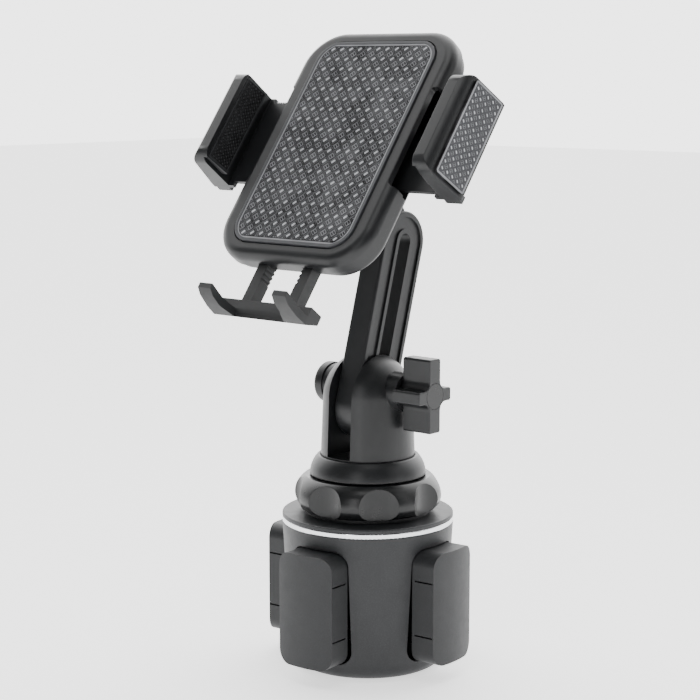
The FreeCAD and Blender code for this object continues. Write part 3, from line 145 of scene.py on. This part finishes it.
# The camera stands level with the cradle, off the knob's side, and looks a little down.
VIEW_TURN, VIEW_DROP = math.radians(40.72), math.radians(8.66)
VIEW_REACH, VIEW_HEIGHT, VIEW_ASIDE = 0.69606, 0.22831, -0.00687
right_hand = Vector((math.cos(VIEW_TURN), math.sin(VIEW_TURN), 0))
ahead = Vector((-math.sin(VIEW_TURN), math.cos(VIEW_TURN), 0))
sight = ahead * math.cos(VIEW_DROP) - Vector((0, 0, 1)) * math.sin(VIEW_DROP)
lens = bpy.data.cameras.new("view")
lens.lens, lens.sensor_width = 94.77, 36.0
lens.clip_start, lens.clip_end = 0.01, 50.0
camera = bpy.data.objects.new("view", lens)
camera.location = -ahead * VIEW_REACH + Vector((0, 0, VIEW_HEIGHT)) + right_hand * VIEW_ASIDE
camera.rotation_euler = sight.to_track_quat("-Z", "Y").to_euler()
bpy.context.scene.collection.objects.link(camera)
bpy.context.scene.camera = camera

# ---------------------------------------------------------------- cup body, cover and inner guide
# The base is a moulded ABS cup with four windows, closed by a screwed-in guide below and a
# clipped cover above. All of it is injection moulded, with a fine spark-eroded skin.
MM = 0.001
nodes = frame["nodes"]


def moulded(name, dark, light, roughness, grain_mm, grain_depth, speckle=0.0):
    """Injection-moulded plastic: an eroded grain, slow tone drift and faint rubbed patches.

    The grain is drawn coarser than the real tool mark, so that it still shows at this size.
    """
    made, tree, out = blank_material(name)
    place = add(tree, "ShaderNodeTexCoord").outputs["Object"]
    drift = add(tree, "ShaderNodeTexNoise", None, {
        "Vector": place, "Scale": 1 / (14 * MM), "Detail": 3.0,
    })
    rub = add(tree, "ShaderNodeTexNoise", None, {
        "Vector": place, "Scale": 1 / (5 * MM), "Detail": 8.0, "Roughness": 0.75,
    })
    grain = add(tree, "ShaderNodeTexNoise", None, {
        "Vector": place, "Scale": 1 / (grain_mm * MM), "Detail": 2.0, "Roughness": 0.6,
    })
    fleck = add(tree, "ShaderNodeMapRange", None, {
        "Value": grain.outputs["Fac"], "From Min": 0.45, "From Max": 0.75,
        "To Min": 0.0, "To Max": speckle,
    })
    share = add(tree, "ShaderNodeMath", {"operation": "MULTIPLY_ADD", "use_clamp": True})
    tree.links.new(drift.outputs["Fac"], share.inputs[0])
    share.inputs[1].default_value = 0.7  # drift alone goes 0.7 of the way to the light tone
    tree.links.new(fleck.outputs["Result"], share.inputs[2])
    tone = add(tree, "ShaderNodeMix", {"data_type": "RGBA"}, {"Factor": share.outputs["Value"]})
    tone.inputs["A"].default_value = linear(dark)
    tone.inputs["B"].default_value = linear(light)
    gloss = add(tree, "ShaderNodeMapRange", None, {
        "Value": rub.outputs["Fac"], "From Min": 0.3, "From Max": 0.75,
        "To Min": roughness - 0.05, "To Max": roughness + 0.07,
    })
    height = add(tree, "ShaderNodeBump", None, {
        "Height": grain.outputs["Fac"], "Strength": 0.6, "Distance": grain_depth * MM,
    })
    skin = add(tree, "ShaderNodeBsdfPrincipled", None, {
        "Base Color": tone.outputs["Result"], "Roughness": gloss.outputs["Result"], "IOR": 1.53,
        "Specular IOR Level": 0.34, "Normal": height.outputs["Normal"],
    })
    tree.links.new(skin.outputs["BSDF"], out.inputs["Surface"])
    return made


def dress(material, *names):
    """Gives pieces a material in place of what they were packed with."""
    for name in names:
        slots = nodes[name].data.materials
        slots.clear()
        slots.append(material)


def ease(width_mm, *names, angle=35):
    """Rolls a moulded part's sharp edges by a small radius."""
    for name in names:
        piece = nodes[name]
        weld = piece.modifiers.new("weld", "WELD")
        weld.merge_threshold = 0.00001
        flat = piece.modifiers.new("flat", "DECIMATE")
        flat.decimate_type = "DISSOLVE"
        flat.angle_limit = math.radians(0.5)
        roll = piece.modifiers.new("roll", "BEVEL")
        roll.width = width_mm * MM
        roll.segments = 2
        roll.limit_method = "ANGLE"
        roll.angle_limit = math.radians(angle)
        roll.use_clamp_overlap = True
        roll.harden_normals = True
        piece.modifiers.new("even", "WEIGHTED_NORMAL").keep_sharp = True
        piece.data.polygons.foreach_set("use_smooth", [True] * len(piece.data.polygons))


# Spark-eroded ABS: tiny pits scatter the light, so it looks charcoal with wide, soft highlights.
abs_cup = moulded(
    "charcoal_abs_fine_eroded", "#1c1d1f", "#2a2b2d",
    roughness=0.46, grain_mm=0.45, grain_depth=0.03, speckle=0.6,
)
# ABS from a smoother tool: darker, with a narrow sheen along its edges.
abs_satin = moulded(
    "charcoal_abs_satin", "#151617", "#1b1c1e", roughness=0.38, grain_mm=0.5, grain_depth=0.008,
)
dress(abs_cup, "cup_body", "top_cover", "guide_core")
ease(0.3, "cup_body", "top_cover")

# ---------------------------------------------------------------- chrome ring
# A bright ring pressed round the cup's rim: electroplated ABS, smooth and mirror-like, with the
# faint haze and hairlines that plating picks up when it is wiped.


def plated(name, tint, roughness):
    """Bright metal: its own tint, clouded in places by wiping haze."""
    made, tree, out = blank_material(name)
    place = add(tree, "ShaderNodeTexCoord").outputs["Object"]
    hair = add(tree, "ShaderNodeTexNoise", None, {
        "Vector": place, "Scale": 1 / (1.5 * MM), "Detail": 9.0,
    })
    gloss = add(tree, "ShaderNodeMapRange", None, {
        "Value": hair.outputs["Fac"], "From Min": 0.3, "From Max": 0.8,
        "To Min": roughness, "To Max": roughness + 0.08,
    })
    tone = add(tree, "ShaderNodeMix", {"data_type": "RGBA"}, {"Factor": hair.outputs["Fac"]})
    tone.inputs["A"].default_value = linear(tint)
    tone.inputs["B"].default_value = linear("#e4e5e7")
    skin = add(tree, "ShaderNodeBsdfPrincipled", None, {
        "Base Color": tone.outputs["Result"], "Metallic": 1.0, "Roughness": gloss.outputs["Result"],
    })
    tree.links.new(skin.outputs["BSDF"], out.inputs["Surface"])
    return made


# Chrome over polished ABS: a near-mirror that shows the cove as a bright band.
dress(plated("bright_chrome_plate", "#d4d6d9", roughness=0.06), "chrome_ring")
ease(0.25, "chrome_ring")

# ---------------------------------------------------------------- feet
# Each foot is a moulded carrier that runs along a rail, faced with a rubber shoe that grips the
# cup holder. The shoes are soft and matt, a shade darker than the cup.
# Moulded rubber: filled with carbon black and dull, so it shows hardly any sheen.
rubber = moulded(
    "moulded_rubber_matt", "#1b1c1d", "#262729",
    roughness=0.5, grain_mm=0.5, grain_depth=0.02, speckle=0.5,
)
for side in ("right", "back", "left", "front"):
    dress(rubber, f"foot_shoe_{side}")
    dress(abs_satin, f"foot_carrier_{side}")
    ease(0.5, f"foot_shoe_{side}")
dress(rubber, "base_pad")

# ---------------------------------------------------------------- hand wheel and cam
# The wheel that spreads the feet: moulded ABS with eight finger hollows, over a cam plate of
# acetal that shows only through the windows.
# ABS from a polished tool: the blackest plastic here, with sharp highlights in the hollows.
abs_gloss = moulded(
    "black_abs_semi_gloss", "#101112", "#161718", roughness=0.3, grain_mm=0.6, grain_depth=0.006,
)
# Acetal, a waxy bearing plastic: an even, slightly greasy sheen.
acetal = moulded(
    "natural_black_acetal", "#1b1c1d", "#222324", roughness=0.38, grain_mm=0.5, grain_depth=0.006,
)
dress(abs_gloss, "hand_wheel")
dress(acetal, "cam_plate")
ease(0.5, "hand_wheel", angle=28)

# ---------------------------------------------------------------- turret, pivot and knob
# A domed fork turns on a collar over the wheel and holds the arm between its ears. The bolt has a
# smooth cap on one end and a four-lobed knob, moulded round a brass nut, on the other.
dress(abs_satin, "turret_collar", "turret_fork", "bolt_cap", "star_knob")
dress(acetal, "friction_washers", "swivel_washer")
ease(0.3, "turret_collar", "turret_fork", "bolt_cap", angle=30)
ease(0.4, "star_knob", angle=30)
# Zinc-plated steel: a grey, blurred shine.
steel = plated("zinc_plated_steel", "#8f9296", roughness=0.28)
dress(
    steel, "pivot_bolt", "swivel_bolt", "slot_block", "base_screws", "cam_screws", "pinion_axle",
    "clamp_spring",
)
# Black-oxide steel: the oxide hides the metal, so it looks like a dark, oily skin.
black_oxide = moulded(
    "black_oxide_steel", "#111213", "#17181a", roughness=0.35, grain_mm=0.3, grain_depth=0.004,
)
dress(black_oxide, "shell_screws")
# Turned brass: warm yellow, softened by the tool's fine rings.
dress(plated("turned_brass", "#b8923f", roughness=0.22), "knob_insert")
dress(abs_gloss, "knob_disc")

# ---------------------------------------------------------------- arm and ball joint
# The slotted arm slides and tilts on the pivot bolt. Its ball sits in a split liner, held by a
# ribbed ring nut that screws onto the back of the cradle.
dress(abs_satin, "arm", "ball_stud")
ease(0.35, "arm", angle=30)
dress(abs_gloss, "ball_nut", "ball_socket")
dress(acetal, "ball_liner")
ease(0.25, "ball_nut", "ball_socket", angle=30)

# ---------------------------------------------------------------- cradle shells
# Two moulded half shells, screwed together from behind, hold the pinion, the racks and the foot's
# legs between them.
dress(abs_satin, "front_shell", "rear_shell", "release_slide", "clamp_right", "clamp_left")
# ABS with a matt skin: dark and dull, with no line of light along the hooks.
abs_matt = moulded(
    "charcoal_abs_matt", "#121314", "#191a1b", roughness=0.52, grain_mm=0.5, grain_depth=0.01,
)
dress(abs_matt, "phone_foot")
dress(acetal, "sync_pinion", "ratchet_pawl", "detent_clip")
ease(0.35, "front_shell", "rear_shell", angle=30)
ease(0.3, "phone_foot", "clamp_right", "clamp_left", angle=30)
# Silicone: dusty and grey beside the plastic, with a soft, wide sheen.
silicone = moulded(
    "moulded_silicone", "#303134", "#3c3d40",
    roughness=0.45, grain_mm=0.4, grain_depth=0.01, speckle=0.3,
)
dress(silicone, "grip_pad", "clamp_panel_right", "clamp_panel_left")
ease(0.45, "grip_pad", angle=30)
dress(rubber, "clamp_grip_right", "clamp_grip_left")

# ---------------------------------------------------------------- woven-look pads
# The phone's back rests on a silicone pad moulded with a basket-weave relief: raised lozenges at
# the corners of each cell, a framed lozenge with two pits in its middle. The jaws carry it too.
joints = {joint["name"]: joint for joint in frame["joints"]}
ACROSS = Vector((1, 0, 0))
UP_PAD = Vector(joints["phone_foot_slide"]["axis"])
OUT_OF_PAD = Vector(joints["cradle_spin"]["axis"])
WEAVE_CELL = (4.48, 4.64)
WEAVE_TALL = 0.42
DRAWN_CELL = 4.25  # the cell width at which the relief's own sizes are in millimetres


def lozenge(p, q, half_p, half_q, slope):
    """1 inside a block with sloping sides, 0 outside it; p and q run along the strands."""
    inside = np.minimum(half_p - np.abs(p), half_q - np.abs(q))
    return np.clip(inside / slope, 0, 1)


def weave_height(x, y, cell):
    """Height of the relief, 0 to 1, at points in millimetres; a cell is its width and length."""
    cell_wide, cell_long = cell
    pair = []
    for shift in (0.0, 0.5):
        u = ((x / cell_wide + shift + 0.5) % 1 - 0.5) * cell_wide
        v = ((y / cell_long + shift + 0.5) % 1 - 0.5) * cell_long
        pair.append(((u + v) / math.sqrt(2), (v - u) / math.sqrt(2)))
    (p, q), (r, s) = pair
    unit = cell_wide / DRAWN_CELL
    block = lozenge(p, q, 0.98 * unit, 0.56 * unit, 0.22 * unit)
    strand = 0.42 * np.maximum(
        lozenge(p, np.abs(q) - 1.02 * unit, 1.25 * unit, 0.20 * unit, 0.12 * unit),
        lozenge(np.abs(p) - 1.50 * unit, q, 0.18 * unit, 0.8 * unit, 0.12 * unit),
    )
    frame_edge = lozenge(r, s, 1.16 * unit, 1.16 * unit, 0.2 * unit)
    pits = np.maximum(
        lozenge(r - 0.46 * unit, s, 0.36 * unit, 0.80 * unit, 0.16 * unit),
        lozenge(r + 0.46 * unit, s, 0.36 * unit, 0.80 * unit, 0.16 * unit),
    )
    framed = 0.6 * frame_edge - 0.6 * pits
    return np.maximum(np.maximum(block, strand), framed)


def weave_skin(name, dark, light):
    """Moulded silicone: the raised faces are smoother than the pits; the colour paints a highlight on the
    raised faces and shade in the pits.

    The fine grain over them is drawn coarser than the real one.
    """
    made, tree, out = blank_material(name)
    place = add(tree, "ShaderNodeTexCoord").outputs["Object"]
    high = add(tree, "ShaderNodeAttribute", {"attribute_name": "relief"})
    dust = add(tree, "ShaderNodeTexNoise", None, {
        "Vector": place, "Scale": 1 / (9 * MM), "Detail": 6.0,
    })
    # painted light: the relief's height sets the tone, a painted highlight on the raised faces and painted
    # shade in the pits
    painted_relief_light = add(tree, "ShaderNodeMath", {"operation": "POWER"})
    tree.links.new(high.outputs["Fac"], painted_relief_light.inputs[0])
    painted_relief_light.inputs[1].default_value = 1.35
    share = add(tree, "ShaderNodeMath", {"operation": "MULTIPLY_ADD", "use_clamp": True})
    tree.links.new(painted_relief_light.outputs["Value"], share.inputs[0])
    share.inputs[1].default_value = 0.9
    speck = add(tree, "ShaderNodeMapRange", None, {
        "Value": dust.outputs["Fac"], "From Min": 0.35, "From Max": 0.7,
        "To Min": -0.05, "To Max": 0.12,
    })
    tree.links.new(speck.outputs["Result"], share.inputs[2])
    tone = add(tree, "ShaderNodeMix", {"data_type": "RGBA"}, {"Factor": share.outputs["Value"]})
    tone.inputs["A"].default_value = linear(dark)
    tone.inputs["B"].default_value = linear(light)
    gloss = add(tree, "ShaderNodeMapRange", None, {
        "Value": high.outputs["Fac"], "To Min": 0.62, "To Max": 0.36,
    })
    grain = add(tree, "ShaderNodeTexNoise", None, {
        "Vector": place, "Scale": 1 / (0.5 * MM), "Detail": 3.0,
    })
    height = add(tree, "ShaderNodeBump", None, {
        "Height": grain.outputs["Fac"], "Strength": 0.4, "Distance": 0.01 * MM,
    })
    skin = add(tree, "ShaderNodeBsdfPrincipled", None, {
        "Base Color": tone.outputs["Result"], "Roughness": gloss.outputs["Result"], "IOR": 1.43,
        "Specular IOR Level": 0.18, "Normal": height.outputs["Normal"],
    })
    tree.links.new(skin.outputs["BSDF"], out.inputs["Surface"])
    return made


# The raised border round each sheet, in millimetres from its edge, and where the relief starts.
BORDER_MIDDLE, BORDER_HALF, BORDER_SLOPE, BORDER_TALL = 0.5, 0.45, 0.15, 0.62
RELIEF_FROM, RELIEF_SLOPE = 1.05, 0.2


def woven_pad(name, body, middle, along, up, size, corner, step, cell, tall, skin, sink=0.5):
    """A closed sheet of relief: middle and directions in the row frame, sizes in millimetres."""
    wide, long = size
    columns, rows = (int(round(n / step)) for n in size)
    x = np.linspace(-wide / 2, wide / 2, columns + 1)
    y = np.linspace(-long / 2, long / 2, rows + 1)
    x, y = np.meshgrid(x, y)
    # squeeze the grid's corners on to the round corners of the outline
    reach = np.maximum(np.abs(y) - (long / 2 - corner), 0)
    half = wide / 2 - corner + np.sqrt(np.maximum(corner**2 - reach**2, 0))
    edge_x = x * half / (wide / 2)
    distance = np.minimum(half - np.abs(edge_x), long / 2 - np.abs(y))
    border = np.clip((BORDER_HALF - np.abs(distance - BORDER_MIDDLE)) / BORDER_SLOPE, 0, 1)
    field = np.clip((distance - RELIEF_FROM) / RELIEF_SLOPE, 0, 1)
    z = np.maximum(weave_height(edge_x, y, cell) * field, BORDER_TALL * border)
    relief = z.ravel()
    normal = along.cross(up).normalized()
    index = np.arange(z.size).reshape(rows + 1, columns + 1)
    rim = np.concatenate([index[0], index[1:, -1], index[-1, -2::-1], index[-2:0:-1, 0]])
    top = np.stack([edge_x.ravel(), y.ravel(), relief * tall], 1)
    bottom = top[rim]
    bottom[:, 2] = -sink
    points = np.vstack([top, bottom]) * MM
    places = points @ np.array([along, up, normal]) + np.array(middle)
    quads = np.stack([index[:-1, :-1], index[:-1, 1:], index[1:, 1:], index[1:, :-1]], -1)
    under = list(range(z.size, z.size + len(rim)))
    faces = quads.reshape(-1, 4).tolist() + [under[::-1]]
    for k, (a, b) in enumerate(zip(rim, np.roll(rim, -1))):
        faces.append([int(b), int(a), under[k], under[(k + 1) % len(rim)]])
    mesh = bpy.data.meshes.new(name)
    mesh.from_pydata(places.tolist(), [], faces)
    mesh.attributes.new("relief", "FLOAT", "POINT").data.foreach_set(
        "value", np.concatenate([relief, np.zeros(len(rim))]).astype(np.float32)
    )
    mesh.materials.append(skin)
    mesh.update()
    pad = bpy.data.objects.new(name, mesh)
    bpy.context.scene.collection.objects.link(pad)
    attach(pad, body)
    return pad


# Silicone with painted light: a near-white painted highlight on the raised faces and black painted shade in
# the pits; on the grips' relief both stay dark.
woven = weave_skin("woven_relief_silicone", "#020203", "#b0b1b5")
woven_dark = weave_skin("fine_relief_silicone", "#050506", "#3e3f41")
pad_face = next(m for m in frame["record"]["mounts"] if m["name"] == "pad_face")
woven_pad(
    "pad_weave", "cradle", Vector(pad_face["pos_m"]), ACROSS, UP_PAD,
    size=(54.9, 88.4), corner=7.9, step=0.24, cell=WEAVE_CELL, tall=WEAVE_TALL, skin=woven,
)
# each jaw: a panel of the same relief outside, leaning with the flared wall, and a finer one
# on the grip; foot and top are each sheet's ends, out from the pinion and towards the phone
pinion_at = Vector(joints["pinion_turn"]["pos_m"])
JAWS = (("right", 1, "clamp_right_side"), ("left", -1, "clamp_left_side"))
PANEL_CELL, GRIP_CELL = (2.8, 2.8), (1.7, 1.7)
PANEL_FOOT, PANEL_TOP = (61.24, -8.1), (58.60, 6.8)
GRIP_FOOT, GRIP_TOP = (48.93, -2.7), (50.27, 8.6)
for name, side, body in JAWS:
    for part, foot, top, out, cell, tall, long, sink, skin in (
        ("panel_weave", PANEL_FOOT, PANEL_TOP, 1, PANEL_CELL, 0.32, 38.8, 1.2, woven),
        ("grip_weave", GRIP_FOOT, GRIP_TOP, -1, GRIP_CELL, 0.3, 37.2, 0.3, woven_dark),
    ):
        low, high = (ACROSS * (side * x * MM) + OUT_OF_PAD * (z * MM) for x, z in (foot, top))
        slope = (high - low).normalized()
        lengthways = UP_PAD * (side * out)
        woven_pad(
            f"{part}_{name}", body, pinion_at + (low + high) / 2, lengthways, slope,
            size=(long, (high - low).length / MM), corner=1.2, step=0.16, cell=cell, tall=tall,
            skin=skin, sink=sink,
        )
